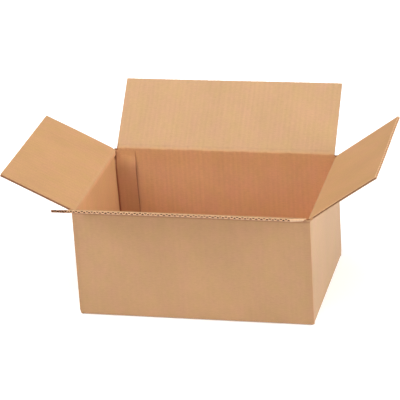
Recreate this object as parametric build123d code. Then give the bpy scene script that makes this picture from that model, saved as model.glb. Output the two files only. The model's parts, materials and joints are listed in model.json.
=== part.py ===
from build123d import *
import math
import os

# A regular slotted carton of corrugated board, standing open. X runs along the long walls and Y along
# the short ones. The origin is the centre of the base, on the surface the carton stands on.

# Board: two liners with a wave between them, its channels running up the walls
board_thickness = 4.0
liner_thickness = 0.4
wave_thickness = 0.4
flute_pitch = 7.8
flute_tip_radius = 1.1

# Carton
inside_length = 350.0
inside_width = 240.0
inside_height = 155.0
fold_inner_radius = 1.0
glue_tab_width = 33.0
glue_tab_taper = 2.0
seam_gap = 0.6

# Flaps, with the slots that part them
flap_length = 120.0
fold_margin = 0.5
slot_clearance = 0.3
slot_relief = 1.5

# Scores that the flaps turn on
hinge_clearance = 0.3
score_width = 14.0
shoulder_radius = 1.5

# How far each flap stands out from upright, in degrees
front_flap_angle = 67.5
back_flap_angle = 46.7
left_flap_angle = 63.9
right_flap_angle = 54.9

# Outer faces, and the heights that follow from closing the short flaps under the long ones
half_length = inside_length / 2 + board_thickness
half_width = inside_width / 2 + board_thickness
floor_top = 2 * board_thickness
short_score_height = floor_top + inside_height + board_thickness
long_score_height = short_score_height + board_thickness + slot_clearance
fold_outer_radius = fold_inner_radius + board_thickness
fold_mid_radius = fold_inner_radius + board_thickness / 2
long_flap_inset = fold_outer_radius + fold_margin
short_flap_inset = board_thickness + slot_clearance
long_flap_width = 2 * (half_length - long_flap_inset)
short_flap_width = 2 * (half_width - short_flap_inset)
mitre_setback = hinge_clearance / 2 * math.sqrt(2)


def bent_board(points, plane):
    """A strip of board seen on edge: a polyline with round folds, thickened to both sides."""
    path = FilletPolyline(*points, radius=fold_mid_radius)
    return plane * trace(path, line_width=board_thickness)


def rounded(section, corner):
    """A section with one of its corners, the shoulder of a score, rounded."""
    nearest = section.vertices().sort_by_distance(corner)[0]
    return fillet(nearest, shoulder_radius)


def wall_plan():
    """The walls from above: one strip from the back wall's free end round to the glue tab."""
    middle_x = half_length - board_thickness / 2
    middle_y = half_width - board_thickness / 2
    tab_y = middle_y - board_thickness
    wrapped = [
        (-half_length + slot_clearance, middle_y),
        (middle_x, middle_y),
        (middle_x, -middle_y),
        (-middle_x, -middle_y),
        (-middle_x, 0),
    ]
    tab_fold = [
        (-middle_x, 0),
        (-middle_x, tab_y),
        (-middle_x + fold_mid_radius + slot_clearance, tab_y),
    ]
    return bent_board(wrapped, Plane.XY) + bent_board(tab_fold, Plane.XY)


def glue_tab():
    """The tab that continues the left wall inside the back wall, cut to a taper at both ends."""
    start = -half_length + board_thickness
    end = start + glue_tab_width
    low = floor_top + slot_clearance
    high = short_score_height - board_thickness - mitre_setback - shoulder_radius - slot_clearance
    outline = Polyline(
        (start, low),
        (end, low + glue_tab_taper),
        (end, high - glue_tab_taper),
        (start, high),
        close=True,
    )
    inner_face = Plane.XZ.offset(-(half_width - board_thickness))
    return extrude(inner_face * make_face(outline), amount=board_thickness)


def corner_zones():
    """The four squares in plan where the slots free the flaps from each other."""
    size_x = long_flap_inset - slot_clearance
    size_y = board_thickness
    spread_x = 2 * half_length - size_x
    spread_y = 2 * half_width - size_y
    return Sketch() + GridLocations(spread_x, spread_y, 2, 2) * Rectangle(size_x, size_y)


def score_trim(width):
    """What is cut off a wall above its score, as a bar along X with the outer face at y = 0.

    The score is a mitre that falls from the outer face to a rounded shoulder on the inner one.
    """
    outside = board_thickness
    inside = board_thickness + fold_mid_radius
    shoulder = (board_thickness, -board_thickness - mitre_setback)
    foot = shoulder[1] - shoulder_radius
    top = 2 * outside
    outline = Polyline(
        (-outside, outside - mitre_setback),
        shoulder,
        (board_thickness, foot),
        (inside, foot),
        (inside, top),
        (-outside, top),
        close=True,
    )
    section = rounded(make_face(outline), shoulder)
    return extrude(Plane.YZ * section, amount=width / 2, both=True)


def on_wall(item, turn, outward, along_x, height):
    """Stands an item made for the front wall on another wall, turned about the upright axis."""
    reach = half_length if along_x else half_width
    return Rot(0, 0, turn) * Pos(0, -reach, height) * Rot(outward, 0, 0) * item


def long_bottom_flap():
    """The front wall's bottom fold and its flap, out to the seam in the middle of the base."""
    strip = [
        (-half_width + board_thickness / 2, fold_outer_radius + slot_relief),
        (-half_width + board_thickness / 2, board_thickness / 2),
        (-seam_gap / 2, board_thickness / 2),
    ]
    return extrude(bent_board(strip, Plane.YZ), amount=long_flap_width / 2, both=True)


def short_bottom_flap():
    """The right wall's bottom fold, pressed level with the long flaps, and its flap lying on them."""
    strip = [
        (half_length - board_thickness / 2, fold_outer_radius + slot_relief),
        (half_length - board_thickness / 2, board_thickness / 2),
        (long_flap_width / 2 + slot_clearance, board_thickness / 2),
    ]
    reach = flap_length - board_thickness
    flap = Rectangle(reach, board_thickness, align=(Align.MAX, Align.MIN))
    lying = Plane.XZ * Pos(half_length - board_thickness, board_thickness) * flap
    fold = bent_board(strip, Plane.XZ)
    return extrude(fold + lying, amount=short_flap_width / 2, both=True)


def body():
    plan = wall_plan()
    walls = extrude(Pos(0, 0, fold_outer_radius) * plan, amount=long_score_height - fold_outer_radius)
    corners = plan & corner_zones()
    feet = extrude(Pos(0, 0, slot_relief) * corners, amount=fold_outer_radius)
    carton = walls + feet + glue_tab()
    for turn in (0, 180):
        carton += Rot(0, 0, turn) * long_bottom_flap()
        carton += Rot(0, 0, turn) * short_bottom_flap()
    long_trim = score_trim(long_flap_width + 2 * slot_clearance)
    short_trim = score_trim(short_flap_width + 2 * slot_clearance)
    for turn in (0, 180):
        carton -= on_wall(long_trim, turn, 0, False, long_score_height)
        carton -= on_wall(short_trim, turn + 90, 0, True, short_score_height)
    slots = extrude(
        Pos(0, 0, long_score_height - slot_relief) * corner_zones(),
        amount=2 * board_thickness,
    )
    return carton - slots


def flute_channel():
    """One channel in section: a flat base on the liner, two flanks and the wave's round tip in three facets.

    The flank touches the tip's circle and passes half the wave's thickness from the point where the wave
    crosses the middle of the board, a quarter pitch away.
    """
    tip_centre = board_thickness - liner_thickness - wave_thickness - flute_tip_radius
    across = flute_pitch / 4
    down = board_thickness / 2 - tip_centre
    apart = flute_tip_radius + wave_thickness / 2
    slope = math.asin(apart / math.hypot(across, down)) - math.atan2(down, across)
    facets = [slope, slope / 3, -slope / 3, -slope]
    tip = [(flute_tip_radius * math.sin(a), tip_centre + flute_tip_radius * math.cos(a)) for a in facets]
    base = tip[0][0] + (tip[0][1] - liner_thickness) / math.tan(slope)
    return make_face(Polyline((-base, liner_thickness), (base, liner_thickness), *tip, close=True))


def top_flap(width):
    """A flap standing upright on its score, outer face at y = 0, with its flutes open at the free edge."""
    shoulder = (board_thickness, board_thickness + mitre_setback)
    outline = Polyline(
        (0, mitre_setback),
        shoulder,
        (board_thickness, flap_length),
        (0, flap_length),
        close=True,
    )
    section = rounded(make_face(outline), shoulder)
    sheet = extrude(Plane.YZ * section, amount=width / 2, both=True)
    outer_channel = flute_channel()
    inner_channel = Pos(flute_pitch / 2, board_thickness) * Rot(0, 0, 180) * outer_channel
    count = math.ceil(width / flute_pitch / 2)
    steps = [i * flute_pitch for i in range(-count, count + 1)]
    channels = [Pos(step, 0, score_width / 2) * outer_channel for step in steps]
    channels += [Pos(step, 0, score_width / 2) * inner_channel for step in steps]
    return sheet - [extrude(channel, amount=flap_length) for channel in channels]


parts = {
    "carton_body": body(),
    "front_flap": on_wall(top_flap(long_flap_width), 0, front_flap_angle, False, long_score_height),
    "back_flap": on_wall(top_flap(long_flap_width), 180, back_flap_angle, False, long_score_height),
    "left_flap": on_wall(top_flap(short_flap_width), -90, left_flap_angle, True, short_score_height),
    "right_flap": on_wall(top_flap(short_flap_width), 90, right_flap_angle, True, short_score_height),
}

os.makedirs("parts", exist_ok=True)
for node, shape in parts.items():
    export_step(shape, f"parts/{node}.step")
    print(node, round(shape.volume), "mm3", len(shape.solids()), "solid")
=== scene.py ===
import json
import math

import bpy
import numpy as np
from bpy.props import FloatProperty, FloatVectorProperty, IntProperty, PointerProperty
from mathutils import Matrix, Vector


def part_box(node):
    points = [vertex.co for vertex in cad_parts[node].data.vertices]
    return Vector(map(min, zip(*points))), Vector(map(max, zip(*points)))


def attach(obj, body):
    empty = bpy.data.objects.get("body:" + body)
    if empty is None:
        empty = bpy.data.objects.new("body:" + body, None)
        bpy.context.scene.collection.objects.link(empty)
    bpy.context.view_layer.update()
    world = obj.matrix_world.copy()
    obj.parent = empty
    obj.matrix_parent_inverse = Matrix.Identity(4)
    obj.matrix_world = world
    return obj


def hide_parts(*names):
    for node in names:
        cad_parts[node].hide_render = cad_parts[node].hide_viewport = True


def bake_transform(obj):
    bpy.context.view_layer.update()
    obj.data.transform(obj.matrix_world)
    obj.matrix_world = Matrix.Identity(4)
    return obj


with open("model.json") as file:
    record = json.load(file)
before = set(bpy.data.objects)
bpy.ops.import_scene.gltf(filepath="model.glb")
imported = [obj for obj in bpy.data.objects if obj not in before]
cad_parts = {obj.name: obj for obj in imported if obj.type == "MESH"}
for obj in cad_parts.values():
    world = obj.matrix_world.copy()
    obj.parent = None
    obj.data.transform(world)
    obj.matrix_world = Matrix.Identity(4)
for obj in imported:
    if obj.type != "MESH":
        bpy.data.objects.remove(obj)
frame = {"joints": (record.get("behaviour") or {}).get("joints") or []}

bl_info = {
    "name": "Open corrugated carton",
    "version": (1, 0, 0),
    "blender": (4, 5, 0),
    "location": "View3D > Sidebar > Carton",
    "description": "Builds the board, flaps, creases and stage of an open carton around its CAD frame",
    "category": "Object",
}

# The frame's own measures, in metres
CARTON_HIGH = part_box("carton_body")[1]
HINGES = {joint["child"]: joint for joint in frame["joints"]}
LONG_SCORE = HINGES["front_flap"]["pos_m"][2]
SHORT_SCORE = HINGES["left_flap"]["pos_m"][2]
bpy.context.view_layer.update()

# A millimetre in metres
MM = 0.001

# Height at which the corner posts draw back from the short flaps
POST_FOOT = SHORT_SCORE - 3 * MM

# The four walls in the order they follow each other on the flat blank, from the glued corner round
WALLS = ("back", "right", "front", "left")

# The runs of the blank that are upright folds
UPRIGHT_FOLDS = (1, 3, 5, 7)

# Rows of the grids, in millimetres: heights on a wall, and distances of a flap's rows from its score
WALL_ROWS = (6.5, 11, 16, 24, 36, 55, 75, 95, 112, 128, 140, 149, 155, 158.5)
FLAP_ROWS = (5, 6.2, 8, 11, 16, 24, 34, 46, 58, 70, 82, 94, 104, 111, 115.5, 118, 119.3, 120)

# Faces that meet at more than this angle keep a hard edge
FACET_ANGLE = math.radians(24)

# Board between the walls' facings: how far it stops short of the sheet's ends, how many grid cells deep
# it is kept behind a cut edge, and how far in the short bottom flaps' flutes stand open
CORE_TRIM = 1.2 * MM
CORE_CELLS = 4
OPEN_FLUTES = 12 * MM

# Bands that are rubbed pale, the last a painted highlight on the shoulder of a flap's crease: the strength of
# the mark and half the band's width
SCORE_RUB = (0.35, 6 * MM)
FOLD_RUB = (0.12, 3.2 * MM)
BASE_RUB = (0.3, 3.5 * MM)
SHOULDER_HIGHLIGHT = (0.8, 1 * MM)

# Bands that are worn, with torn fibres
EDGE_WEAR = (1.0, 0.6 * MM)
SIDE_WEAR = (0.6, 0.6 * MM)
SEAM_WEAR = (0.6, 0.8 * MM)

# Bands that are darker. All but the last are painted shade: on the upright folds, in a corner, below the
# front flap, along the hinges and the creases' feet, and under the front flap's cut edges. The last darkens
# the front flap's tip
FOLD_SHADE_OUTSIDE = (0.1, 8 * MM)
FOLD_SHADE_INSIDE = (0.3, 1.6 * MM)
BELOW_FLAP_SHADE = (0.5, 1.2 * MM)
CORNER_SHADE = (1.0, 1.6 * MM)
HINGE_SHADE = (0.5, 1.5 * MM)
FOOT_SHADE = (0.1, 0.8 * MM)
RIM_SHADE = (0.8, 0.5 * MM)
SIDE_SHADE = (0.5, 0.5 * MM)
TIP_SHADE = (0.7, 1.5 * MM)

# Darkness of the glue tab, and painted shade along its fold and along its edge, at its foot with what its top
# adds
TAB_SHADE = 0.27
TAB_FOLD_SHADE = 1.3
TAB_EDGE_SHADE = (0.5, 0.3)

# Heights between which a mark comes or goes
TAB_TOP = (140 * MM, 160 * MM)
TAB_LINE = (110 * MM, 150 * MM)
TAB_EDGE = (60 * MM, 150 * MM)
CORNER_TOP = (150 * MM, 160 * MM)
GOLDEN_TOP = (125 * MM, 162 * MM)
BOUNCE_TOP = (110 * MM, LONG_SCORE)
BOUNCE_FOOT = (10 * MM, 70 * MM)

# How much of its painted bounce light the inside loses toward its top, and the left wall's rear half
BOUNCE_LOSS_TOP = 0.45
BOUNCE_LOSS_LEFT = 0.78

# Tone on each flap and on three faces of the walls, from yellowish at -1 to bluish at 1: painted light, for
# how the light falls on each face of the one paper
FLAP_TINTS = {"back": 1.0, "right": -1.0, "front": -0.3, "left": -0.6}
RIGHT_OUTER_TINT, FRONT_OUTER_TINT, LEFT_INNER_TINT = 1.0, -0.6, -0.8

# Wavelengths in metres, and sizes, of the uneven lines
FLUTE_DRIFT = ((0.09, 0.051, 0.033), 0.5 * MM)
WAVE_DRIFT = ((0.047, 0.031, 0.0193), 0.7 * MM)
CRUSH_DRIFT = ((0.021, 0.0123, 0.0331), 0.45)
CUT_DRIFT = ((0.0117, 0.0231, 0.0063), 0.22 * MM)
CREASE_DRIFT = ((0.083, 0.037, 0.0171, 0.0093), 0.35 * MM)

# Each facing's cloudiness, fibres, flute lines and roughness
OUTER_LOOK = dict(clouds=0.16, fibres=0.24, lines=0.035, roughness=0.66)
INNER_LOOK = dict(clouds=0.14, fibres=0.24, lines=0.085, roughness=0.7)

# Gains on a paper's own colour for its shades
OLIVE, ROSY = (0.98, 1.015, 0.94), (1.02, 0.985, 1.06)
# DEEP is the colour of painted shade; the rubbed colour also serves the painted highlight on the creases'
# shoulders
RUBBED_AND_LIT, TORN, DEEP = (1.10, 1.14, 1.22), (1.5, 1.75, 2.15), (0.42, 0.17, 0.16)
TORN_MEDIUM = (3.8, 5.3, 7.9)
# The gain of painted bounce light, deep inside the carton
PAINTED_BOUNCE_GAIN = (1.43, 1.32, 1.40, 1.0)
YELLOWISH, BLUISH = (1.01, 0.97, 0.88, 1.0), (0.95, 1.005, 1.06, 1.0)

# The floor's half side, its squares along a side and its height
FLOOR_SIZE, FLOOR_SQUARES, FLOOR_HEIGHT = 6.0, 24, -0.0004

# Round soft lights: name, place and width. Each takes its power from the stage's setting of that name
LIGHTS = (
    ("right", (6.8, -0.8, 3.2), 4.4),
    ("left", (-6.8, -0.8, 3.6), 4.4),
    ("front", (0.6, -7.2, 3.2), 4.8),
    ("high", (-4.4, -4.0, 5.6), 3.6),
    ("top", (0, -0.6, 6.4), 5.0),
)
LIGHT_AIM = (0, 0, 0.1)
WHITE = (1.0, 1.0, 1.0, 1.0)


# Settings
def length(name, description, default):
    return FloatProperty(name=name, description=description, default=default, unit="LENGTH")


def angle(name, description, default):
    return FloatProperty(name=name, description=description, default=default, subtype="ANGLE")


def power(name, default):
    return FloatProperty(name=name, description="Power in watts", default=default)


def colour(name, description, default):
    return FloatVectorProperty(
        name=name, description=description, default=default, subtype="COLOR", size=3, min=0, max=1
    )


class BoardSettings(bpy.types.PropertyGroup):
    thickness: length("Board", "Thickness of the whole board", 4.0 * MM)
    liner: length("Liner", "Thickness of each facing sheet", 0.4 * MM)
    wave: length("Wave sheet", "Thickness of the fluted sheet", 0.4 * MM)
    pitch: length("Flute pitch", "Distance from one flute to the next", 7.8 * MM)
    washboard: length("Washboard", "How far the inner facing dips between two flutes", 0.06 * MM)
    bow: length("Wall bow", "How far the middle of a wall bows outward", 0.7 * MM)
    crush: length("Edge crush", "How far each facing is pressed in at a cut edge", 0.05 * MM)
    rim: length("Inner rim", "How much the cutting swells the inner facing at the free edge", 0.1 * MM)
    outer_rim: length("Outer rim", "How much the cutting swells the outer facing at the free edge", 0.5 * MM)
    fray: length("Cut fray", "How much the cutting thickens the fluted sheet at the free edge", 0.42 * MM)
    steps: IntProperty(name="Steps", description="Grid columns for each flute", default=8, min=4)


class FoldSettings(bpy.types.PropertyGroup):
    outer_radius: length("Outer radius", "Radius of a fold on its outer face", 5.0 * MM)
    relief: length("Slot relief", "Height of the slots' ends above the floor", 1.5 * MM)
    clearance: length("Clearance", "Gap between two cut edges", 0.3 * MM)
    crease: length("Crease reach", "How far a flap's crease reaches up and down its score", 5.0 * MM)
    shoulder: length("Shoulder", "Height above the score at which the inner facing turns out", 0.6 * MM)
    valley: length("Valley", "How deep the score presses the inner facing at a flap's foot", 0.3 * MM)
    front_shoulder: length("Front shoulder", "The shoulder's height at the front flap", -1.0 * MM)
    front_foot: length("Front foot", "How much thinner the front flap is pressed at its foot", 2.4 * MM)
    ridge: FloatProperty(name="Ridge", description="How sharp the upright folds are outside", default=0.8)
    turning: length("Turning part", "Half the width of the strip that bends when a flap moves", 2.15 * MM)
    tab_width: length("Glue tab", "Width of the glue tab", 33.5 * MM)
    tab_lean: length("Tab lean", "How far the tab and its fold lean out at the top", 2.3 * MM)
    tab_taper: length("Tab taper", "How much the tab narrows at each end", 1.5 * MM)
    tab_low: length("Tab bottom", "Height of the tab's lower end", 8.3 * MM)
    tab_high: length("Tab top", "Height of the tab's upper end", 168.8 * MM)
    tab_crush: length("Tab crush", "How far down from the flap the tab is pressed thin", 30.0 * MM)
    groove: length("Groove", "Depth of the groove inside the tab's fold", 1.3 * MM)


class FlapSettings(bpy.types.PropertyGroup):
    reach: length("Flap length", "Length of each flap from its score", 120.0 * MM)
    long_inset: length("Long flap inset", "From a corner to the end of a long flap", 5.5 * MM)
    short_inset: length("Short flap inset", "From a corner to the end of a short flap", 4.3 * MM)
    warp: length("Warp", "How far a flap's middle bends out of its plane", 0.8 * MM)
    curl: length("Front curl", "How far the front flap's middle hangs below its free edge", 2.8 * MM)
    front_angle: angle("Front", "Lean of the front flap from upright", math.radians(67.5))
    back_angle: angle("Back", "Lean of the back flap from upright", math.radians(46.7))
    left_angle: angle("Left", "Lean of the left flap from upright", math.radians(63.9))
    right_angle: angle("Right", "Lean of the right flap from upright", math.radians(54.9))


class PaperSettings(bpy.types.PropertyGroup):
    outer: colour("Outer facing", "Colour of the outer paper", (0.383, 0.225, 0.117))
    inner: colour("Inner facing", "Colour of the inner paper", (0.441, 0.250, 0.121))
    # Darker than the facings: partly the fluting's own browner paper, partly painted shade in the open flutes
    medium: colour("Fluted sheet", "Colour of the fluted sheet", (0.19, 0.075, 0.028))
    floor: colour("Floor", "Colour of the floor", (0.93, 0.93, 0.93))


class StageSettings(bpy.types.PropertyGroup):
    lens: FloatProperty(name="Lens", description="Focal length in millimetres", default=196.23)
    eye: FloatVectorProperty(name="Camera", description="Where the camera stands", size=3,
                             default=(0.7330, -2.9445, 1.4443), subtype="TRANSLATION")
    yaw: angle("Yaw", "Turn to the left of +Y", 0.2483)
    pitch: angle("Pitch", "Tilt below level", 0.4054)
    roll: angle("Roll", "Turn about the line of sight", 0.0627)
    sky: FloatProperty(name="Sky", description="Strength of the even light", default=0.2)
    glow: FloatProperty(name="Floor glow", description="Light the white floor gives by itself", default=0.25)
    right: power("Right light", 598.0)
    left: power("Left light", 350.0)
    front: power("Front light", 190.0)
    high: power("High light", 205.0)
    top: power("Top light", 176.0)


class CartonSettings(bpy.types.PropertyGroup):
    board: PointerProperty(type=BoardSettings, name="Board", description="The corrugated board")
    fold: PointerProperty(type=FoldSettings, name="Folds", description="Folds, slots and glue tab")
    flap: PointerProperty(type=FlapSettings, name="Flaps", description="The four top flaps")
    paper: PointerProperty(type=PaperSettings, name="Paper", description="Colours")
    stage: PointerProperty(type=StageSettings, name="Stage", description="Camera, lights and floor")


# The flat blank
class Blank:
    """The carton's sheet as it was before folding.

    u runs along the walls and v up them, both in metres. A wall's plan is a line of straights and
    quarter turns to the right: with heading h and curvature k the middle of the board moves by
    (sin(h + k s) - sin h) / k, (cos h - cos(h + k s)) / k, or straight on where k is zero.
    """

    def __init__(self, settings):
        board, fold, flap = settings.board, settings.fold, settings.flap
        self.board, self.fold, self.flap = board, fold, flap
        self.t = board.thickness
        self.radius = fold.outer_radius - self.t / 2
        quarter = self.radius * math.pi / 2
        self.foot = fold.outer_radius - quarter
        half_x, half_y = CARTON_HIGH.x, CARTON_HIGH.y
        turn_x, turn_y = half_x - fold.outer_radius, half_y - fold.outer_radius
        tab_turn = turn_y - self.t
        straights = (
            half_x - fold.clearance + turn_x,
            2 * turn_y,
            2 * turn_x,
            turn_y + tab_turn,
            fold.tab_width - (fold.outer_radius - self.t),
        )
        runs = [run for straight in straights[:4] for run in (straight, quarter)] + [straights[4]]
        self.starts = np.concatenate([[0.0], np.cumsum(runs)])
        self.bends = np.array([0, -1 / self.radius] * 4 + [0])
        self.headings = np.cumsum(np.concatenate([[0], self.bends * runs]))[:-1]
        self.corners = np.zeros((len(runs) + 1, 2))
        self.corners[0] = (-half_x + fold.clearance, half_y - self.t / 2)
        for i, run in enumerate(runs):
            self.corners[i + 1] = self.corners[i] + self._step(np.array([run]), i)[0]
        self.left_fold, self.tab_fold, self.tab_start, self.end = self.starts[[5, 7, 8, 9]]
        long_half, short_half = half_x - flap.long_inset, half_y - flap.short_inset
        centres = dict(
            back=half_x - fold.clearance,
            right=self.starts[2] + turn_y,
            front=self.starts[4] + turn_x,
            left=self.starts[6] + turn_y,
        )
        self.walls = {}
        for name in WALLS:
            long_wall = name in ("back", "front")
            root = long_half if long_wall else turn_y - fold.clearance
            far = tab_turn - fold.clearance if name == "left" else root
            self.walls[name] = dict(
                centre=centres[name],
                low=centres[name] - root,
                high=centres[name] + far,
                half=long_half if long_wall else short_half,
                score=LONG_SCORE if long_wall else SHORT_SCORE,
                angle=getattr(flap, f"{name}_angle"),
                lifted=not long_wall,
                reach=half_y - fold.clearance if long_wall else flap.reach,
            )

    def _step(self, s, i):
        h, k = self.headings[i], self.bends[i]
        if k == 0:
            return np.stack([s * math.cos(h), s * math.sin(h)], -1)
        return np.stack([(np.sin(h + k * s) - math.sin(h)) / k, (math.cos(h) - np.cos(h + k * s)) / k], -1)

    def bottom_end(self, name):
        """Where a wall's bottom flap ends, as a v below zero."""
        return self.foot - (self.walls[name]["reach"] - self.fold.outer_radius)

    def fold_middles(self):
        return [(self.starts[i] + self.starts[i + 1]) / 2 for i in UPRIGHT_FOLDS]

    def plan(self, u):
        """Middle of the board in plan, and the direction that points into the carton, at u."""
        u = np.asarray(u, float)
        part = np.clip(np.searchsorted(self.starts, u, side="right") - 1, 0, len(self.bends) - 1)
        middle = np.zeros(u.shape + (2,))
        for i in range(len(self.bends)):
            here = part == i
            middle[here] = self.corners[i] + self._step(u[here] - self.starts[i], i)
        heading = self.headings[part] + self.bends[part] * (u - self.starts[part])
        return middle, np.stack([np.sin(heading), -np.cos(heading)], -1)

    def place(self, u, inward, height):
        """Points at u along the walls, inward from the outer face and at a height."""
        middle, into = self.plan(u)
        flat = middle + (inward - self.t / 2)[..., None] * into
        return np.concatenate([flat, np.broadcast_to(height, u.shape)[..., None]], -1)

    def flap_place(self, name, u, reach, depth):
        """Points of a flap that leans out by its angle a.

        At reach s and depth d, inward = d cos a - s sin a and up = s cos a + d sin a.
        """
        lean = self.walls[name]["angle"]
        c, s = math.cos(lean), math.sin(lean)
        return self.wall_place(name, u, depth * c - reach * s, reach * c + depth * s)

    def wall_place(self, name, u, inward, up):
        """Points measured from a wall's score, on the straight line of its outer face and beyond its ends."""
        wall = self.walls[name]
        middle, into = self.plan(np.array([wall["centre"]]))
        along = np.array([-into[0, 1], into[0, 0]])
        beside = (u - wall["centre"])[..., None] * along
        flat = middle[0] + beside + (inward - self.t / 2)[..., None] * into[0]
        return np.concatenate([flat, (wall["score"] + up)[..., None]], -1)


def ramp(x, low, high):
    """0 before low, 1 after high, with level ends: 3 t^2 - 2 t^3."""
    t = np.clip((x - low) / (high - low), 0, 1)
    return t * t * (3 - 2 * t)


def near(x, place, width):
    """1 at place, falling away as exp(-((x - place) / width)^2)."""
    return np.exp(-(((x - place) / width) ** 2))


def band(x, place, kind):
    """A band's strength at its place, falling away over its half width."""
    return kind[0] * near(x, place, kind[1])


def ripple(x, seed, drift):
    """A smooth line of chance: a sum of sines of the given wavelengths, each with its own phase."""
    wavelengths, size = drift
    phases = np.random.default_rng(seed).uniform(0, 2 * math.pi, len(wavelengths))
    total = sum(np.sin(2 * math.pi * x / w + p) for w, p in zip(wavelengths, phases))
    return total * size / len(wavelengths)


# Closed shells
def on_both(value, shape):
    """A mark on the outer and the inner grid, from one value for both or a pair of them."""
    pair = value if isinstance(value, tuple) else (value, value)
    return np.concatenate([np.broadcast_to(part, shape).ravel() for part in pair])


class Shells:
    """Gathers closed shells, each of two point grids and the border between them, into one mesh."""

    def __init__(self):
        self.points, self.faces, self.uv, self.slots = [], [], [], []
        self.marks = {"wear": [], "crease": [], "shade": [], "warm": [], "tint": []}
        self.count = 0

    def add(self, outer, inner, uv, slots, cells=None, **marks):
        """Adds one shell. Where a cell meets an empty one, the two grids are joined along that border.

        The slots are the papers of the outer grid, the inner grid and the border. A mark is a value, a
        grid of them, or a pair for the outer and the inner grid.
        """
        shape = outer.shape[:2]
        cells = np.ones((shape[0] - 1, shape[1] - 1), bool) if cells is None else cells
        index = np.arange(shape[0] * shape[1]).reshape(shape)
        far = index.size
        a, b, c, d = index[:-1, :-1], index[1:, :-1], index[1:, 1:], index[:-1, 1:]
        quads = np.stack([a, b, c, d], -1)[cells]
        padded = np.pad(cells, 1)
        borders = []
        for neighbour, first, second in (
            (padded[:-2, 1:-1], a, d),
            (padded[2:, 1:-1], c, b),
            (padded[1:-1, :-2], b, a),
            (padded[1:-1, 2:], d, c),
        ):
            here = cells & ~neighbour
            p, q = first[here], second[here]
            borders.append(np.stack([p, q, q + far, p + far], -1))
        groups = [quads, quads[:, ::-1] + far, np.concatenate(borders)]
        faces = np.concatenate(groups)[:, ::-1]
        points = np.concatenate([outer.reshape(-1, 3), inner.reshape(-1, 3)])
        uv = np.tile(np.stack(np.broadcast_arrays(*uv), -1).reshape(-1, 2), (2, 1))
        used, faces = np.unique(faces, return_inverse=True)
        self.points.append(points[used])
        self.uv.append(uv[used])
        self.faces.append(faces.reshape(-1, 4) + self.count)
        self.slots.append(np.concatenate([np.full(len(g), s) for g, s in zip(groups, slots)]))
        for mark, values in self.marks.items():
            values.append(on_both(marks.get(mark, 0.0), shape)[used])
        self.count += len(used)

    def build(self, name, materials):
        """Makes the mesh and its object. The blank's u and v are its UV map, and the marks its attributes."""
        points, faces = np.concatenate(self.points), np.concatenate(self.faces)
        mesh = bpy.data.meshes.new(name)
        mesh.vertices.add(len(points))
        mesh.loops.add(faces.size)
        mesh.polygons.add(len(faces))
        mesh.vertices.foreach_set("co", points.astype(np.float32).ravel())
        mesh.loops.foreach_set("vertex_index", faces.astype(np.int32).ravel())
        mesh.polygons.foreach_set("loop_start", np.arange(0, faces.size, 4, dtype=np.int32))
        mesh.polygons.foreach_set("material_index", np.concatenate(self.slots).astype(np.int32))
        mesh.update(calc_edges=True)
        layer = mesh.uv_layers.new(name="blank")
        layer.data.foreach_set("uv", np.concatenate(self.uv)[faces.ravel()].astype(np.float32).ravel())
        for mark, values in self.marks.items():
            attribute = mesh.attributes.new(mark, "FLOAT", "POINT")
            attribute.data.foreach_set("value", np.concatenate(values).astype(np.float32))
        mesh.polygons.foreach_set("use_smooth", np.ones(len(faces), bool))
        mesh.set_sharp_from_angle(angle=FACET_ANGLE)
        for material in materials:
            mesh.materials.append(material)
        mesh.validate()
        piece = bpy.data.objects.new(name, mesh)
        bpy.context.scene.collection.objects.link(piece)
        return piece


# Walls and bottom
def body_rows(blank):
    """The heights, and below the bottom folds the reaches, at which the body's grid has its rows."""
    fold, foot = blank.fold, blank.foot
    ends = [blank.bottom_end("back"), blank.bottom_end("right")]
    end = max(ends)
    rows = set(ends)
    rows.update(np.linspace(end + 3 * MM, foot - 8 * MM, 6))
    rows.update([end + 0.4 * MM, end + CORE_TRIM, end + OPEN_FLUTES])
    rows.update(foot - x * MM for x in (3.0, 1.2, 0.6, 0.3))
    rows.update(np.linspace(foot, fold.outer_radius, 6))
    rows.update([fold.relief, fold.tab_low, fold.tab_high, POST_FOOT, SHORT_SCORE - fold.relief])
    rows.update([SHORT_SCORE - fold.crease, LONG_SCORE - fold.crease, LONG_SCORE - fold.relief])
    rows.update(np.array(WALL_ROWS) * MM)
    return np.array(sorted(rows))


def body_columns(blank, step):
    """The places along the walls at which the body's grid has its columns, about one step apart."""
    columns = set([0.0, CORE_TRIM, blank.end - CORE_TRIM, blank.end])
    for wall in blank.walls.values():
        count = round((wall["high"] - wall["low"]) / step)
        columns.update(np.linspace(wall["low"], wall["high"], count + 1))
        columns.update([wall["low"] - blank.fold.clearance, wall["high"] + blank.fold.clearance])
    for i in UPRIGHT_FOLDS:
        columns.update(np.linspace(blank.starts[i], blank.starts[i + 1], 9))
    count = round((blank.end - blank.tab_start) / step)
    columns.update(np.linspace(blank.tab_start, blank.end, count + 1))
    return np.unique(np.round(np.array(sorted(columns)), 7))


def body_cells(blank, columns, rows):
    """Which cells of the blank are board: walls with their bottom flaps, corner posts and glue tab."""
    fold = blank.fold
    u = (columns[:-1] + columns[1:]) / 2
    v = (rows[:-1] + rows[1:]) / 2
    low = np.full(u.shape, fold.relief)
    high = np.full(u.shape, LONG_SCORE - fold.relief)
    high[u > blank.tab_fold] = POST_FOOT
    tab = u > blank.tab_start
    low[tab], high[tab] = fold.tab_low, fold.tab_high
    for name, wall in blank.walls.items():
        panel = (u > wall["low"]) & (u < wall["high"])
        low[panel] = blank.bottom_end(name)
        high[panel] = wall["score"] - fold.crease
        slit = (u > wall["low"] - fold.clearance) & (u < wall["high"] + fold.clearance) & ~panel
        low[slit] = fold.outer_radius
        if wall["lifted"]:
            high[slit] = POST_FOOT
    return (v[None, :] > low[:, None]) & (v[None, :] < high[:, None])


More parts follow.
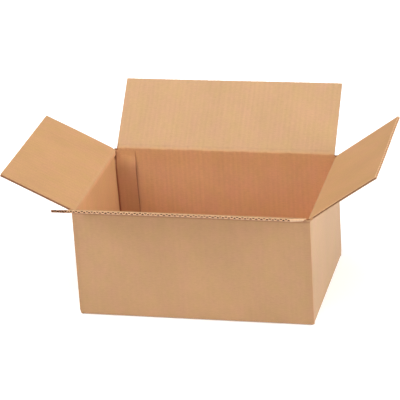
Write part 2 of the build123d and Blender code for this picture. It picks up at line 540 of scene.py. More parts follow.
def deep_cells(cells, layers):
    """The cells that have at least the given number of filled cells between them and any empty one."""
    for _ in range(layers):
        padded = np.pad(cells, 1)
        cells = cells & padded[:-2, 1:-1] & padded[2:, 1:-1] & padded[1:-1, :-2] & padded[1:-1, 2:]
    return cells


def wall_bow(blank, wall, share, rise):
    """How far a wall bows out: sin(pi x) sin(pi y) over it, with a smaller wave on top of that."""
    belly = np.sin(math.pi * np.clip(share, 0, 1)) * np.sin(math.pi * rise)
    wavy = 0.25 * np.sin(2 * math.pi * share + wall["centre"] * 40) * rise * (1 - rise)
    return blank.board.bow * (belly + wavy)


def body_points(blank, u, v, depth):
    """Folds the blank. Up a wall a point keeps its depth; round a bottom fold of angle a it lies at
    inward = r - (r - d) cos a, up = r - (r - d) sin a, with r the outer radius, and then runs level.

    A short wall's bottom flap is raised by one board, first on its inner side, to lie on the long flaps.
    The glue tab narrows to its end, leans out with its fold, and is pressed thin under the back flap. The
    corner posts draw back above the short flaps' scores.
    """
    fold, t = blank.fold, blank.t
    u, v, depth = np.broadcast_arrays(u, v, depth)
    r = fold.outer_radius
    inward, up, along = depth.copy(), v.copy(), u.copy()
    turned = np.clip((r - v) / blank.radius, 0, math.pi / 2)
    run = np.clip(blank.foot - v, 0, None)
    for wall in blank.walls.values():
        panel = (u >= wall["low"] - 1e-7) & (u <= wall["high"] + 1e-7)
        folded = panel & (v < r)
        inward = np.where(folded, r - (r - depth) * np.cos(turned) + run, inward)
        up = np.where(folded, r - (r - depth) * np.sin(turned), up)
        share = (u - wall["low"]) / (wall["high"] - wall["low"])
        if wall["lifted"]:
            inside_first = ramp(-v, -30 * MM, -r)
            outside_then = ramp(run, 0.0, 1.2 * MM)
            raised = t * ((depth / t) * inside_first + (1 - depth / t) * outside_then)
            up = np.where(panel, up + raised, up)
            spread = wall["centre"] + (2 * share - 1) * wall["half"]
            along = np.where(folded, u + (spread - u) * ramp(run, 0.0, 3 * MM), along)
        rise = np.clip((v - r) / (wall["score"] - fold.crease - r), 0, 1)
        inward = np.where(panel, inward - wall_bow(blank, wall, share, rise), inward)
    for i in UPRIGHT_FOLDS[:3]:
        turn = np.clip((u - blank.starts[i]) / (blank.starts[i + 1] - blank.starts[i]), 0, 1) * math.pi / 2
        square = 1 / np.maximum(np.cos(turn), np.sin(turn)) - 1
        inward = inward - fold.ridge * r * square * (1 - depth / t) * ramp(v, 0.0, 9 * MM)
    groove = near(u, blank.fold_middles()[3], 0.9 * MM) * ramp(depth, t / 2, t)
    inward = inward - fold.groove * groove
    tab = u > blank.tab_start + 1e-7
    middle = (fold.tab_low + fold.tab_high) / 2
    narrow = (u - blank.tab_start) / (blank.end - blank.tab_start) * fold.tab_taper / (middle - fold.tab_low)
    up = np.where(tab, middle + (v - middle) * (1 - narrow), up)
    pressed = ramp(v, POST_FOOT - 1 * MM - fold.tab_crush, POST_FOOT - 1 * MM)
    thin = 1 - 0.93 * pressed * ramp(u, blank.tab_fold, blank.tab_start)
    inward = np.where(u > blank.tab_fold, inward * thin, inward)
    points = blank.place(along, inward, up)
    leaning = ramp(u, blank.tab_fold - 28 * MM, blank.tab_fold) * np.where(tab, 1.0, depth / t)
    points[..., 0] -= fold.tab_lean * leaning * ramp(v, 20 * MM, fold.tab_high)
    drawn_back = np.sign(points[..., 1]) * np.maximum(np.abs(points[..., 1]), CARTON_HIGH.y - t)
    above = (v > POST_FOOT + 0.1 * MM) & (u < blank.tab_fold)
    points[..., 1] = np.where(above, drawn_back, points[..., 1])
    return points


def flute_wave(blank, u):
    """0 on a flute and 1 between two, as (1 - cos(2 pi u / pitch)) / 2 with a slight drift."""
    return 0.5 - 0.5 * np.cos(2 * math.pi * (u + ripple(u, 5, FLUTE_DRIFT)) / blank.board.pitch)


def washboard(blank, u, v):
    """Dip of the inner facing between two flutes, fading out at folds."""
    calm = ramp(v, blank.fold.outer_radius, 12 * MM) + ramp(-v, 0.0, 6 * MM)
    for wall in blank.walls.values():
        here = (u > wall["low"]) & (u < wall["high"])
        top = wall["score"] - blank.fold.crease
        edge = ramp(u, wall["low"], wall["low"] + 5 * MM) * ramp(-u, -wall["high"], -wall["high"] + 5 * MM)
        calm = np.where(here, calm * ramp(-v, -top, -top + 9 * MM) * edge, calm)
    for i in UPRIGHT_FOLDS:
        calm = np.where((u > blank.starts[i] - 1 * MM) & (u < blank.starts[i + 1] + 1 * MM), 0, calm)
    return blank.board.washboard * flute_wave(blank, u) * np.clip(calm, 0, 1)


def crease_marks(blank, u, v):
    """The walls' rubbed bands: along their scores, on the upright folds and on the bottom folds."""
    crease = np.zeros(u.shape)
    for wall in blank.walls.values():
        margin = SCORE_RUB[1]
        here = (u > wall["low"] - margin) & (u < wall["high"] + margin)
        crease = np.where(here, np.maximum(crease, band(v, wall["score"], SCORE_RUB)), crease)
    for middle in blank.fold_middles():
        crease = np.maximum(crease, band(u, middle, FOLD_RUB))
    return np.maximum(crease, band(v, 2.5 * MM, BASE_RUB))


def outer_marks(blank, u, v, crease):
    """The marks of the walls' outer facing: painted shade on the folds and a painted shadow below the front
    flap, and tone for the light on each face.
    """
    shade = np.zeros(u.shape)
    for middle in blank.fold_middles():
        shade = np.maximum(shade, band(u, middle, FOLD_SHADE_OUTSIDE))
    walls = blank.walls
    front = (u > walls["front"]["low"] - 4 * MM) & (u < walls["front"]["high"] + 4 * MM)
    right = (u > walls["right"]["low"]) & (u < walls["right"]["high"])
    # Painted shadow of the front flap on the front wall, below its crease
    below = band(v, LONG_SCORE - blank.fold.crease, BELOW_FLAP_SHADE)
    shade = np.where(front, np.maximum(shade, below), shade)
    tint = np.where(right, RIGHT_OUTER_TINT, np.where(front, FRONT_OUTER_TINT, 0.0))
    return dict(wear=seam_wear(blank, u), crease=crease, shade=shade, tint=tint)


def inner_marks(blank, u, v, crease):
    """The marks of the walls' inner facing: painted shade in the folds and a corner and along the glue tab's
    fold and edge, a darker glue tab, painted bounce light in the deep inside, and tone for the light on each
    face.
    """
    shade = np.zeros(u.shape)
    for middle in blank.fold_middles():
        shade = np.maximum(shade, band(u, middle, FOLD_SHADE_INSIDE))
    tab = ramp(u, blank.tab_start - 1 * MM, blank.tab_start) * (1 - 0.9 * ramp(v, *TAB_TOP))
    line = (1.5 - 0.5 * ramp(v, *TAB_LINE)) * MM
    edge, more = TAB_EDGE_SHADE
    # Painted shade along the tab's fold and edge and in the back corner; the tab itself is only darker
    for dark in (
        TAB_SHADE * tab,
        np.minimum(1, TAB_FOLD_SHADE * near(u, blank.tab_start + 0.4 * MM, line)),
        (edge + more * ramp(v, *TAB_EDGE)) * near(u, blank.end, 0.8 * MM),
        band(u, 4.5 * MM, CORNER_SHADE) * ramp(v, *CORNER_TOP),
    ):
        shade = np.maximum(shade, dark)
    # Painted bounce light, less toward the top and on the left wall's rear half but not on the tab
    rear_half = ramp(u, blank.left_fold, (blank.left_fold + blank.tab_fold) / 2)
    warm = 1 - BOUNCE_LOSS_TOP * ramp(v, *BOUNCE_TOP)
    on_tab = u > blank.tab_fold + 1 * MM
    warm = np.where(on_tab, warm, warm * (1 - BOUNCE_LOSS_LEFT * rear_half * ramp(v, *BOUNCE_FOOT)))
    back_wall = (u < blank.starts[1]) | (u > blank.tab_start)
    left_wall = (u > blank.walls["left"]["low"]) & (u < blank.tab_fold)
    tint = np.where(left_wall, LEFT_INNER_TINT, -ramp(v, *GOLDEN_TOP) * back_wall)
    return dict(wear=seam_wear(blank, u), crease=crease, shade=shade, warm=warm, tint=tint)


def seam_wear(blank, u):
    """Wear at the two upright cut edges of the sheet."""
    return np.maximum(band(u, 0, SEAM_WEAR), band(u, blank.end, SEAM_WEAR))


def add_open_flutes(blank, shells):
    """The fluted sheet that shows at the ends of the two short bottom flaps."""
    flap_end = blank.bottom_end("right")
    v = np.array([flap_end + 0.2 * MM, flap_end + 4 * MM, flap_end + OPEN_FLUTES])[None, :]
    for name in ("right", "left"):
        low, high = blank.walls[name]["low"], blank.walls[name]["high"]
        count = round((high - low) / blank.board.pitch * 8)
        across = np.linspace(low, high, count + 1)[:, None]
        uv = (across + 0 * v, v + 0 * across)
        faces = [body_points(blank, *uv, depth) for depth in wave_sheet(blank, uv[0])]
        shells.add(*faces, uv, (2, 2, 2))


def build_walls(blank, materials):
    """The folded sheet below the scores: both facings, and the board between them."""
    board, t = blank.board, blank.t
    rows = body_rows(blank)
    shells = Shells()

    def grid(step):
        columns = body_columns(blank, step)
        u, v = columns[:, None] + 0 * rows, rows + 0 * columns[:, None]
        return columns, body_cells(blank, columns, rows), u, v

    columns, cells, u, v = grid(board.pitch / 2)
    outer, under = body_points(blank, u, v, 0 * u), body_points(blank, u, v, 0 * u + board.liner)
    shells.add(outer, under, (u, v), (0, 2, 0), cells, **outer_marks(blank, u, v, crease_marks(blank, u, v)))
    centre_u = (columns[:-1] + columns[1:]) / 2
    centre_v = (rows[:-1] + rows[1:]) / 2
    trimmed = (centre_u > CORE_TRIM) & (centre_u < blank.end - CORE_TRIM)
    core = cells & ~deep_cells(cells, CORE_CELLS) & trimmed[:, None]
    for name in ("right", "left"):
        wall = blank.walls[name]
        here = (centre_u > wall["low"]) & (centre_u < wall["high"])
        core &= ~(here[:, None] & (centre_v < blank.bottom_end(name) + OPEN_FLUTES)[None, :])
    over = body_points(blank, u, v, 0 * u + t - board.liner)
    shells.add(under, over, (u, v), (2, 2, 2), core)
    columns, cells, u, v = grid(board.pitch / 4)
    over = body_points(blank, u, v, 0 * u + t - board.liner)
    inner = body_points(blank, u, v, t - washboard(blank, u, v))
    shells.add(over, inner, (u, v), (2, 1, 1), cells, **inner_marks(blank, u, v, crease_marks(blank, u, v)))
    add_open_flutes(blank, shells)
    return shells.build("carton_walls", materials)


def wave_sheet(blank, u, crush=0.0, fray=0.0):
    """The two faces of the fluted sheet.

    Its middle lies at depth = t/2 + (t/2 - liner - wave/2 - crush) sin(2 pi u / pitch), and its faces half
    its thickness over the cosine of its slope from there. Fray thickens the cut sheet, most on its flanks.
    """
    board = blank.board
    swing = np.maximum(blank.t / 2 - board.liner - board.wave / 2 - crush, 0.05 * MM)
    turn = 2 * math.pi * (u + ripple(u, 9, WAVE_DRIFT)) / board.pitch
    middle = blank.t / 2 + swing * np.sin(turn)
    half = board.wave / 2 / np.cos(np.arctan(swing * 2 * math.pi / board.pitch * np.cos(turn)))
    half = np.minimum(half, board.wave * 0.6) + fray * (0.25 + 0.75 * np.cos(turn) ** 2)
    return middle - half, middle + half


# Top flaps
def flap_lean(blank, name, seed, s, along, share):
    """How far a flap's board is pushed inward off its plane.

    With a = 0 at the crease and 1 at the free edge, and q = -1..1 across the flap, it is
    w (0.8 a^2 (1 + cos(0.9 pi q + seed)) / 2 + sin(pi a) (0.5 + 0.3 q)). This is toward the inside on a
    short flap and away from it on a long one, so that the closed flaps lie clear of each other. The
    front flap also sags by c (1 - s / reach), eased in above its crease.
    """
    crease, flap = blank.fold.crease, blank.flap
    lean = flap.warp * (
        along**2 * (0.5 + 0.5 * np.cos(math.pi * share * 0.9 + seed)) * 0.8
        + np.sin(math.pi * along) * (0.5 + 0.3 * share)
    )
    lean = lean * (1 if blank.walls[name]["lifted"] else -1)
    if name == "front":
        lean = lean - flap.curl * ramp(s, crease, 30 * MM) * (1 - s / flap.reach)
    return lean


def flap_shade(blank, name, s, share, side, tip):
    """The flap's painted shade: a grid for its outer face, shaded along the front flap's free and side edges,
    and one for its other faces, shaded along the side edges, with the front flap's left tip darker.
    """
    half, reach = blank.walls[name]["half"], blank.flap.reach
    aside, front = np.abs(share) * half, name == "front"
    edge_shade = (0.1 if front else 0.2) * near(aside, half, 0.5 * MM)
    if name == "left":
        edge_shade = np.maximum(edge_shade, 0.5 * near(share, -1, 0.6 * MM / half))
    if not front:
        return edge_shade, edge_shade
    rim = band(s, reach, RIM_SHADE) + band(aside, half, SIDE_SHADE)
    under = np.clip(rim, 0, RIM_SHADE[0]) * (1 - 0.7 * side)
    return under, np.maximum(edge_shade, tip * band(s, reach, TIP_SHADE))


def build_flap(blank, name, materials, seed):
    """A top flap: two facings and a wave, warped, pressed thinner at its cut edges and closed at its ends.

    The front flap is also pressed thinner at its foot, and its left tip is darker.
    """
    board, fold, flap, t = blank.board, blank.fold, blank.flap, blank.t
    wall = blank.walls[name]
    half, front = wall["half"], name == "front"
    count = round(2 * half / board.pitch * board.steps)
    reach = np.array(FLAP_ROWS) * MM
    reach = fold.crease + (reach - reach[0]) * (flap.reach - fold.crease) / (reach[-1] - reach[0])
    u = np.linspace(wall["centre"] - half, wall["centre"] + half, count + 1)[:, None]
    u, s = u + 0 * reach, reach + 0 * u
    share = (u - wall["centre"]) / half
    aside = np.abs(share) * half
    along = (s - fold.crease) / (flap.reach - fold.crease)
    lean = flap_lean(blank, name, seed, s, along, share)
    foot = (fold.front_foot if front else 0.0) * (1 - ramp(s, 8 * MM, 34 * MM))
    end = np.clip(near(s, flap.reach, 1.6 * MM) + near(aside, half, 1.4 * MM), 0, 1)
    press = board.crush * end * (1 + ripple(u, seed, CRUSH_DRIFT))
    ragged = ripple(u, seed + 20, CUT_DRIFT) * ramp(s, 0.9 * flap.reach, flap.reach)
    quiet = ramp(s, fold.crease, fold.crease + 8 * MM) * (1 - end)
    dip = 0.4 * board.washboard * flute_wave(blank, u) * quiet
    side = ramp(aside, half - 2.2 * MM, half - 0.2 * MM)
    full = (t / 2 - board.liner - 0.05 * MM - foot / 2) * (1.0 if front else 0.6)
    free = near(s, flap.reach, 0.9 * MM)
    swell = np.maximum(board.rim * free, (full - press) * side)
    lower = np.maximum(board.outer_rim * free, (full - press) * side)
    top, sheet = t - foot, board.liner + press
    depths = (0.35 * dip + press, sheet + lower, top - sheet - swell, top - dip - press)
    faces = [blank.flap_place(name, u, s + ragged, d + lean) for d in depths]
    uv = (u, wall["score"] + s)

    tip = ramp(share, 0.84, 0.9) * front
    wear = np.clip(band(s, flap.reach, EDGE_WEAR) + band(aside, half, SIDE_WEAR), 0, 1) * (1 - 0.8 * tip)
    # Painted shade along the flap's edges
    under, edge_shade = flap_shade(blank, name, s, share, side, tip)
    marks = dict(wear=wear, crease=band(s, 0, SCORE_RUB), tint=FLAP_TINTS[name])
    shells = Shells()
    shells.add(faces[0], faces[1], uv, (0, 2, 0), shade=(under, edge_shade), **marks)
    shells.add(faces[2], faces[3], uv, (2, 1, 1), shade=edge_shade, **marks)

    fray = board.fray * near(s, flap.reach, 0.8 * MM) * (1 - side)
    shift = (lower - swell - foot) / 2
    wave = wave_sheet(blank, u, press * 0.9 + (swell + lower + foot) / 2, fray)
    inset = s - 0.25 * MM * ramp(s, 0.98 * flap.reach, flap.reach) + ragged * 0.6
    narrower = wall["centre"] + (u - wall["centre"]) * (1 - 0.4 * MM / half)
    low, high = [blank.flap_place(name, narrower, inset, face + shift + lean) for face in wave]
    shells.add(low, high, uv, (2, 2, 2), wear=band(s, flap.reach, EDGE_WEAR) * (1 - 0.8 * tip))
    return shells.build(f"{name}_flap_board", materials)


# Creases
def rounded_line(points, cuts, steps):
    """A polyline whose inner corners are quadratic curves, each cut off at its own length from the corner."""
    points = [np.array(p, float) for p in points]
    line = [points[0]]
    x = np.linspace(0, 1, steps)[:, None]
    for i, cut in zip(range(1, len(points) - 1), cuts):
        ends = []
        for other in (points[i - 1], points[i + 1]):
            ends.append(points[i] + (other - points[i]) / np.linalg.norm(other - points[i]) * cut)
        line.extend((1 - x) ** 2 * ends[0] + 2 * x * (1 - x) * points[i] + x**2 * ends[1])
    line.append(points[-1])
    return np.array(line)


def build_crease(blank, name, materials, seed):
    """The scored strip between a wall and its flap.

    Outside, two straights meet at the hinge's axis. Inside, the facing turns out at a shoulder by the score,
    spans straight to the valley that the score pressed above it and comes back to the flap's full thickness.
    The strip is a section of these two lines carried along the wall.
    """
    fold, t, reach = blank.fold, blank.t, blank.fold.crease
    wall = blank.walls[name]
    c, s = math.cos(wall["angle"]), math.sin(wall["angle"])
    front = name == "front"
    shoulder, foot = (fold.front_shoulder, fold.front_foot) if front else (fold.shoulder, 0.0)

    def turned(depth, up):
        return depth * c - up * s, up * c + depth * s

    outside = rounded_line([(0, -reach), (0, 0), turned(0, reach)], [1.3 * MM], 11)
    inside = rounded_line(
        [(t, -reach), (t, shoulder), turned(t - foot - fold.valley, 3 * MM), turned(t - foot, reach)],
        [0.8 * MM, 0.9 * MM], 5,
    )
    inside = np.insert(inside, 6, (inside[5] + inside[6]) / 2, axis=0)
    share = np.linspace(-1, 1, round(2 * wall["half"] / blank.board.pitch * 6) + 1)[:, None]
    below, above = np.linspace(-reach, -1.5 * MM, 5), np.linspace(1.5 * MM, reach, 5)
    q = np.concatenate([below, [-0.6 * MM, 0, 0.6 * MM], above])[None, :]
    widen = ramp(q, POST_FOOT - SHORT_SCORE, -fold.relief)
    low = wall["low"] + (wall["centre"] - wall["half"] - wall["low"]) * widen
    high = wall["high"] + (wall["centre"] + wall["half"] - wall["high"]) * widen
    u = low + (high - low) * (share + 1) / 2
    soft = near(q, 0, 2.6 * MM) * (1 - near(np.abs(share), 1, 0.01))
    wander = ripple(u, seed, CREASE_DRIFT) * soft
    outer = blank.wall_place(name, u, outside[None, :, 0] + 0 * u, outside[None, :, 1] + 0.3 * wander)
    inner = blank.wall_place(name, u, inside[None, :, 0] + wander, inside[None, :, 1] + 0.6 * wander)

    # Rubbed band, and a painted highlight on the shoulder inside
    rubbed = band(q, 0, SCORE_RUB)
    crease = (rubbed, np.maximum(rubbed, band(q, 0, SHOULDER_HIGHLIGHT)))
    # Painted shade at the strip's ends, most at the back strip's end in the corner
    edge_shade = (0.0 if front else 0.25) * near(np.abs(share), 1, 0.4 * MM / wall["half"])
    if name == "back":
        edge_shade = np.maximum(edge_shade, 0.8 * near(share, -1, 1.5 * MM / wall["half"]))
    # Painted shade along the hinge, and on the front wall under the front flap
    under = np.maximum(band(q, 0, HINGE_SHADE), band(q, -reach, HINGE_SHADE) * front)
    shade = (np.maximum(under, edge_shade), np.maximum(band(q, -1.5 * MM, FOOT_SHADE), edge_shade))
    # Painted bounce light on the wall's part inside, and tone for the light on each face
    warm = (0.0, 0.5 * (1 - ramp(q, -reach, 0)))
    on_flap = ramp(q, -1 * MM, 1 * MM)
    tint = FLAP_TINTS[name] * on_flap - (1 - on_flap) * (name == "back")
    uv = (u, wall["score"] + q + 0 * u)
    shells = Shells()
    shells.add(outer, inner, uv, (0, 1, 1), crease=crease, shade=shade, warm=warm, tint=tint)
    return shells.build(f"{name}_flap_crease", materials)


def crease_ends(blank, name):
    """Two points either side of the hinge's axis, halfway between wall and flap."""
    wall = blank.walls[name]
    half = wall["angle"] / 2
    reach = blank.fold.turning
    u = np.array([wall["centre"]] * 2)
    inward = np.array([math.sin(half), -math.sin(half)]) * reach
    up = np.array([-math.cos(half), math.cos(half)]) * reach
    return [tuple(p) for p in blank.wall_place(name, u, inward, up)]


# Papers
def feed(tree, slot, value):
    """Sets a socket to a constant, or links a value into it."""
    if isinstance(value, (int, float, tuple)):
        slot.default_value = value
    else:
        tree.links.new(value, slot)


def feed_all(tree, node, values):
    """Feeds the sockets of a node by their names."""
    for label, value in values.items():
        feed(tree, node.inputs[label], value)


def math_node(tree, operation, a, b=None, clamp=False):
    node = tree.nodes.new("ShaderNodeMath")
    node.operation = operation
    node.use_clamp = clamp
    feed(tree, node.inputs[0], a)
    if b is not None:
        feed(tree, node.inputs[1], b)
    return node.outputs[0]


def add(tree, a, b, clamp=False):
    return math_node(tree, "ADD", a, b, clamp)


def multiply(tree, a, b, clamp=False):
    return math_node(tree, "MULTIPLY", a, b, clamp)


def as_share(tree, value, gain):
    """gain times the value plus a half, kept within 0 and 1."""
    return add(tree, multiply(tree, value, gain), 0.5, True)


def noise(tree, vector, scale, detail, stretch=(1, 1, 1), roughness=0.5):
    """Noise in -1..1 around 0 on a stretched copy of the vector."""
    mapping = tree.nodes.new("ShaderNodeMapping")
    feed_all(tree, mapping, {"Scale": stretch, "Vector": vector})
    node = tree.nodes.new("ShaderNodeTexNoise")
    values = {"Scale": scale, "Detail": detail, "Roughness": roughness, "Vector": mapping.outputs[0]}
    feed_all(tree, node, values)
    return multiply(tree, math_node(tree, "SUBTRACT", node.outputs["Fac"], 0.5), 2.0)


def new_group(name, inputs, outputs):
    """A node group fed by a vector and by numbers with these defaults, and giving out numbers."""
    group = bpy.data.node_groups.new(name, "ShaderNodeTree")
    group.interface.new_socket(name="Vector", in_out="INPUT", socket_type="NodeSocketVector")
    for label, default in inputs.items():
        made = group.interface.new_socket(name=label, in_out="INPUT", socket_type="NodeSocketFloat")
        made.default_value = default
    for label in outputs:
        group.interface.new_socket(name=label, in_out="OUTPUT", socket_type="NodeSocketFloat")
    start, end = group.nodes.new("NodeGroupInput"), group.nodes.new("NodeGroupOutput")
    return group, start.outputs, end.inputs


def fibre_group():
    """Kraft paper: cloudy tone, fibres lying along u, and darker specks.

    Puts out a tone, specks, a drift of hue and a height.
    """
    defaults = {"Clouds": 0.05, "Fibres": 0.05}
    group, given, result = new_group("kraft_fibres", defaults, ("Tone", "Specks", "Hue", "Height"))
    vector = given["Vector"]
    clouds = noise(group, vector, 16.0, 4.0, (1.0, 0.7, 1.0))
    patches = noise(group, vector, 85.0, 3.0, (1.0, 0.8, 1.0))
    fibres = noise(group, vector, 420.0, 4.0, (0.35, 1.6, 1.0), 0.65)
    fine = noise(group, vector, 1500.0, 2.0, (0.3, 1.5, 1.0), 0.6)
    hue = noise(group, vector, 45.0, 4.0, (1.0, 0.7, 1.0), 0.6)
    speck = noise(group, vector, 700.0, 1.0, (0.6, 1.3, 1.0))
    cloud_tone = add(group, clouds, multiply(group, patches, 0.45))
    fibre_tone = add(group, fibres, multiply(group, fine, 0.5))
    cloudy = multiply(group, cloud_tone, given["Clouds"])
    fibrous = multiply(group, fibre_tone, given["Fibres"])
    feed(group, result["Tone"], add(group, cloudy, fibrous))
    feed(group, result["Specks"], multiply(group, math_node(group, "SUBTRACT", speck, 0.42), 6.0, True))
    feed(group, result["Hue"], hue)
    feed(group, result["Height"], fibre_tone)
    return group


def flute_group():
    """Lines over the flutes, cos(2 pi u / pitch), each with its own strength, and streaks along them."""
    group, given, result = new_group("flute_lines", {"Pitch": 0.0078}, ("Lines",))
    vector = given["Vector"]
    split = group.nodes.new("ShaderNodeSeparateXYZ")
    feed(group, split.inputs[0], vector)
    turns = math_node(group, "DIVIDE", split.outputs["X"], given["Pitch"])
    drift = multiply(group, noise(group, vector, 11.0, 1.0, (1.0, 0.03, 1.0)), 0.25)
    wave = math_node(group, "COSINE", multiply(group, add(group, turns, drift), 2 * math.pi))
    strength = add(group, noise(group, vector, 60.0, 1.0, (1.0, 0.07, 1.0)), 0.8)
    streaks = noise(group, vector, 380.0, 2.0, (1.0, 0.04, 1.0), 0.6)
    ribs = multiply(group, multiply(group, wave, strength), 0.35)
    feed(group, result["Lines"], add(group, ribs, streaks))
    return group


def wear_group():
    """Scuffed edges, and rubbed creases with the painted highlight on the creases' shoulders: the mesh's own
    marks, broken up by noise. Puts out two masks.
    """
    group, given, result = new_group("board_wear", {"Edge": 0.0, "Crease": 0.0}, ("Edge", "Crease"))
    broken = noise(group, given["Vector"], 260.0, 3.0, (1.0, 1.0, 1.0), 0.6)
    edge = add(group, given["Edge"], multiply(group, broken, 0.6))
    edge = multiply(group, math_node(group, "SUBTRACT", edge, 0.35), 1.6, True)
    feed(group, result["Edge"], edge)
    strength = add(group, multiply(group, broken, 0.5), 0.8)
    feed(group, result["Crease"], multiply(group, given["Crease"], strength))
    return group


def use_group(tree, group, vector, **values):
    """The outputs of a group, fed by the vector and the values."""
    node = tree.nodes.new("ShaderNodeGroup")
    node.node_tree = group
    feed_all(tree, node, dict(Vector=vector, **values))
    return node.outputs


def mark_value(tree, mark):
    """The value of one of the mesh's own marks."""
    attribute = tree.nodes.new("ShaderNodeAttribute")
    attribute.attribute_name = mark
    return attribute.outputs["Fac"]


def scaled(base, factor):
    return (base[0] * factor, base[1] * factor, base[2] * factor, 1.0)


def toned(base, gains):
    """A colour with a gain on each channel, none past 1."""
    return tuple(min(1.0, c * g) for c, g in zip(base, gains)) + (1.0,)


def mix_colour(tree, factor, a, b, blend="MIX"):
    node = tree.nodes.new("ShaderNodeMix")
    node.data_type, node.blend_type = "RGBA", blend
    for slot, value in ((node.inputs["Factor"], factor), (node.inputs[6], a), (node.inputs[7], b)):
        feed(tree, slot, value)
    return node.outputs[2]


def new_material(name):
    """A material with its node tree and shader."""
    material = bpy.data.materials.new(name)
    material.use_nodes = True
    tree = material.node_tree
    return material, tree, next(n for n in tree.nodes if n.type == "BSDF_PRINCIPLED")


def blank_uv(tree):
    """The blank's own UV map."""
    uv = tree.nodes.new("ShaderNodeUVMap")
    uv.uv_map = "blank"
    return uv.outputs["UV"]


def facing_material(name, base, groups, pitch, clouds, fibres, lines, roughness):
    """A facing: the paper's colour, changed by tone, flute lines, specks, creases, worn edges, and painted
    light and shade: a highlight on the creases' shoulders, bounce light inside, tone for the light on each
    face, and shade.
    """
    material, tree, shader = new_material(name)
    uv = blank_uv(tree)
    fibre = use_group(tree, groups["fibre"], uv, Clouds=clouds, Fibres=fibres)
    flute = use_group(tree, groups["flute"], uv, Pitch=pitch)
    marks = dict(Edge=mark_value(tree, "wear"), Crease=mark_value(tree, "crease"))
    wear = use_group(tree, groups["wear"], uv, **marks)
    tone = add(tree, fibre["Tone"], multiply(tree, flute["Lines"], lines))
    level = as_share(tree, tone, 2.0)
    hue = as_share(tree, fibre["Hue"], 1.6)
    olive, rosy = toned(base, OLIVE), toned(base, ROSY)
    dark = mix_colour(tree, hue, scaled(olive, 0.82), scaled(rosy, 0.82))
    light = mix_colour(tree, hue, scaled(olive, 1.18), scaled(rosy, 1.18))
    plain = mix_colour(tree, level, dark, light)
    dotted = mix_colour(tree, multiply(tree, fibre["Specks"], 0.25), plain, scaled(base, 0.55))
    # Rubbed creases, with the painted highlight on the creases' shoulders
    creased = mix_colour(tree, multiply(tree, wear["Crease"], 0.45), dotted, toned(base, RUBBED_AND_LIT))
    worn = mix_colour(tree, multiply(tree, wear["Edge"], 0.85), creased, toned(base, TORN))
    # Painted bounce light, then tone for the light on each face
    bounce_lit = mix_colour(tree, mark_value(tree, "warm"), worn, PAINTED_BOUNCE_GAIN, "MULTIPLY")
    drift = mix_colour(tree, as_share(tree, mark_value(tree, "tint"), 0.5), YELLOWISH, BLUISH)
    tinted = mix_colour(tree, 1.0, bounce_lit, drift, "MULTIPLY")
    # Painted shade, mixed toward the deep colour
    shade = multiply(tree, mark_value(tree, "shade"), 1.0, True)
    feed(tree, shader.inputs["Base Color"], mix_colour(tree, shade, tinted, toned(base, DEEP)))
    rough = add(tree, multiply(tree, tone, 0.35), roughness, True)
    bump = tree.nodes.new("ShaderNodeBump")
    feed_all(tree, bump, {"Strength": 0.25, "Distance": 0.25 * MM, "Height": fibre["Height"]})
    finish = {"Roughness": rough, "Specular IOR Level": 0.35, "Normal": bump.outputs["Normal"]}
    feed_all(tree, shader, finish)
    return material


def medium_material(base, groups):
    """The fluted sheet and the cut edges: rougher paper with torn fibres, darker than the facings, partly its
    own browner paper and partly painted shade in the open flutes.
    """
    material, tree, shader = new_material("fluting_paper")
    fibre = use_group(tree, groups["fibre"], blank_uv(tree), Clouds=0.08, Fibres=0.12)
    level = as_share(tree, fibre["Tone"], 2.0)
    plain = mix_colour(tree, level, scaled(base, 0.75), scaled(base, 1.3))
    torn = mix_colour(tree, mark_value(tree, "wear"), plain, toned(base, TORN_MEDIUM))
    feed_all(tree, shader, {"Base Color": torn, "Roughness": 0.92, "Specular IOR Level": 0.25})
    return material


def paper_materials(settings):
    """The three papers, made once and shared by every piece."""
    found = [bpy.data.materials.get(n) for n in ("outer_kraft", "inner_kraft", "fluting_paper")]
    if all(found):
        return found
    groups = {"fibre": fibre_group(), "flute": flute_group(), "wear": wear_group()}
    paper, pitch = settings.paper, settings.board.pitch
    return [
        facing_material("outer_kraft", tuple(paper.outer), groups, pitch, **OUTER_LOOK),
        facing_material("inner_kraft", tuple(paper.inner), groups, pitch, **INNER_LOOK),
        medium_material(tuple(paper.medium), groups),
    ]


# Stage and operators
def build_floor(settings):
    """The pale floor, faintly uneven in tone, which gives a little light of its own."""
    line = np.linspace(-FLOOR_SIZE, FLOOR_SIZE, FLOOR_SQUARES + 1)
    x, y = np.meshgrid(line, line, indexing="ij")
    points = np.stack([x, y, np.full(x.shape, FLOOR_HEIGHT)], -1).reshape(-1, 3)
    index = np.arange(x.size).reshape(x.shape)
    quads = np.stack([index[:-1, :-1], index[1:, :-1], index[1:, 1:], index[:-1, 1:]], -1).reshape(-1, 4)
    mesh = bpy.data.meshes.new("studio_floor")
    mesh.from_pydata(points.tolist(), [], quads.tolist())
    floor = bpy.data.objects.new("studio_floor", mesh)
    bpy.context.scene.collection.objects.link(floor)
    material, tree, shader = new_material("floor_paint")
    where = tree.nodes.new("ShaderNodeTexCoord")
    level = as_share(tree, noise(tree, where.outputs["Object"], 3.0, 2.0), 0.5)
    pale = tuple(settings.paper.floor)
    paint = mix_colour(tree, level, scaled(pale, 0.985), scaled(pale, 1.0))
    feed_all(tree, shader, {"Base Color": paint, "Roughness": 0.9, "Specular IOR Level": 0.1})
    feed_all(tree, shader, {"Emission Color": WHITE, "Emission Strength": settings.stage.glow})
    mesh.materials.append(material)


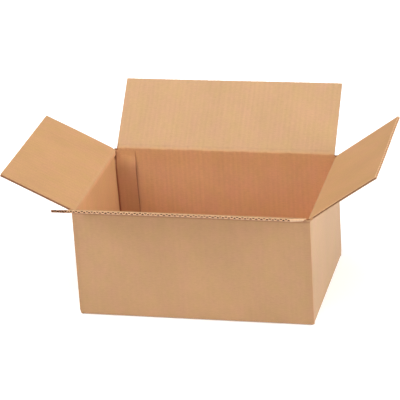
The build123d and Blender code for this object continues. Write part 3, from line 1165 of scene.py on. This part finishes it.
def build_lights(stage):
    """An even white sky and five large round lights."""
    scene = bpy.context.scene
    world = bpy.data.worlds.new("studio")
    world.use_nodes = True
    tree = world.node_tree
    feed_all(tree, tree.nodes["Background"], {"Color": WHITE, "Strength": stage.sky})
    scene.world = world
    for name, place, width in LIGHTS:
        data = bpy.data.lights.new(f"{name}_light", "AREA")
        data.shape = "DISK"
        data.size = width
        data.energy = getattr(stage, name)
        lamp = bpy.data.objects.new(f"{name}_light", data)
        lamp.location = place
        lamp.rotation_euler = (Vector(LIGHT_AIM) - Vector(place)).to_track_quat("-Z", "Y").to_euler()
        scene.collection.objects.link(lamp)


def build_camera(stage):
    """The camera, aimed by its yaw and pitch and then rolled about its line of sight."""
    camera = bpy.data.objects.new("camera", bpy.data.cameras.new("camera"))
    camera.data.lens = stage.lens
    camera.data.sensor_width = 36.0
    ahead = Vector((
        -math.sin(stage.yaw) * math.cos(stage.pitch),
        math.cos(stage.yaw) * math.cos(stage.pitch),
        -math.sin(stage.pitch),
    ))
    right = Vector((math.cos(stage.yaw), math.sin(stage.yaw), 0))
    down = ahead.cross(right)
    rolled_right = math.cos(stage.roll) * right + math.sin(stage.roll) * down
    rolled_down = -math.sin(stage.roll) * right + math.cos(stage.roll) * down
    turn = Matrix((rolled_right, -rolled_down, -ahead)).transposed()
    camera.matrix_world = Matrix.Translation(stage.eye) @ turn.to_4x4()
    bpy.context.scene.collection.objects.link(camera)
    bpy.context.scene.camera = camera


class CARTON_OT_walls(bpy.types.Operator):
    """Build the walls, corner folds, glue tab and bottom flaps"""

    bl_idname = "carton.walls"
    bl_label = "Walls and bottom"

    def execute(self, context):
        settings = context.scene.carton
        piece = build_walls(Blank(settings), paper_materials(settings))
        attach(piece, "carton")
        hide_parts("carton_body")
        return {"FINISHED"}


class CARTON_OT_flaps(bpy.types.Operator):
    """Build the four top flaps with their facings and open flutes"""

    bl_idname = "carton.flaps"
    bl_label = "Top flaps"

    def execute(self, context):
        settings = context.scene.carton
        blank = Blank(settings)
        for seed, name in enumerate(WALLS, 1):
            piece = build_flap(blank, name, paper_materials(settings), seed)
            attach(piece, f"{name}_flap")
            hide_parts(f"{name}_flap")
        return {"FINISHED"}


class CARTON_OT_creases(bpy.types.Operator):
    """Build the scored strips that join each flap to its wall"""

    bl_idname = "carton.creases"
    bl_label = "Flap creases"

    def execute(self, context):
        settings = context.scene.carton
        blank = Blank(settings)
        for seed, name in enumerate(WALLS, 40):
            piece = build_crease(blank, name, paper_materials(settings), seed)
            start, end = crease_ends(blank, name)
            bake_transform(piece)
        return {"FINISHED"}


class CARTON_OT_stage(bpy.types.Operator):
    """Build the floor, the lights and the camera"""

    bl_idname = "carton.stage"
    bl_label = "Floor, lights and camera"

    def execute(self, context):
        settings = context.scene.carton
        context.scene.view_settings.view_transform = "Standard"
        build_floor(settings)
        build_lights(settings.stage)
        build_camera(settings.stage)
        return {"FINISHED"}


class CARTON_PT_panel(bpy.types.Panel):
    """Lists the carton's operators and sizes"""

    bl_idname = "CARTON_PT_panel"
    bl_label = "Open carton"
    bl_space_type = "VIEW_3D"
    bl_region_type = "UI"
    bl_category = "Carton"

    def draw(self, context):
        for group in ("board", "fold", "flap", "paper", "stage"):
            settings = getattr(context.scene.carton, group)
            box = self.layout.box()
            for key in settings.__annotations__:
                box.prop(settings, key)
        for operator in OPERATORS:
            self.layout.operator(operator.bl_idname)


GROUPS = (BoardSettings, FoldSettings, FlapSettings, PaperSettings, StageSettings, CartonSettings)
OPERATORS = (CARTON_OT_stage, CARTON_OT_walls, CARTON_OT_flaps, CARTON_OT_creases)


def register():
    for item in GROUPS + OPERATORS + (CARTON_PT_panel,):
        bpy.utils.register_class(item)
    bpy.types.Scene.carton = PointerProperty(type=CartonSettings, name="Carton", description="The carton")


def unregister():
    del bpy.types.Scene.carton
    for item in reversed(GROUPS + OPERATORS + (CARTON_PT_panel,)):
        bpy.utils.unregister_class(item)


def main():
    register()
    bpy.ops.carton.stage()
    bpy.ops.carton.walls()
    bpy.ops.carton.flaps()
    bpy.ops.carton.creases()


if __name__ == "__main__":
    main()
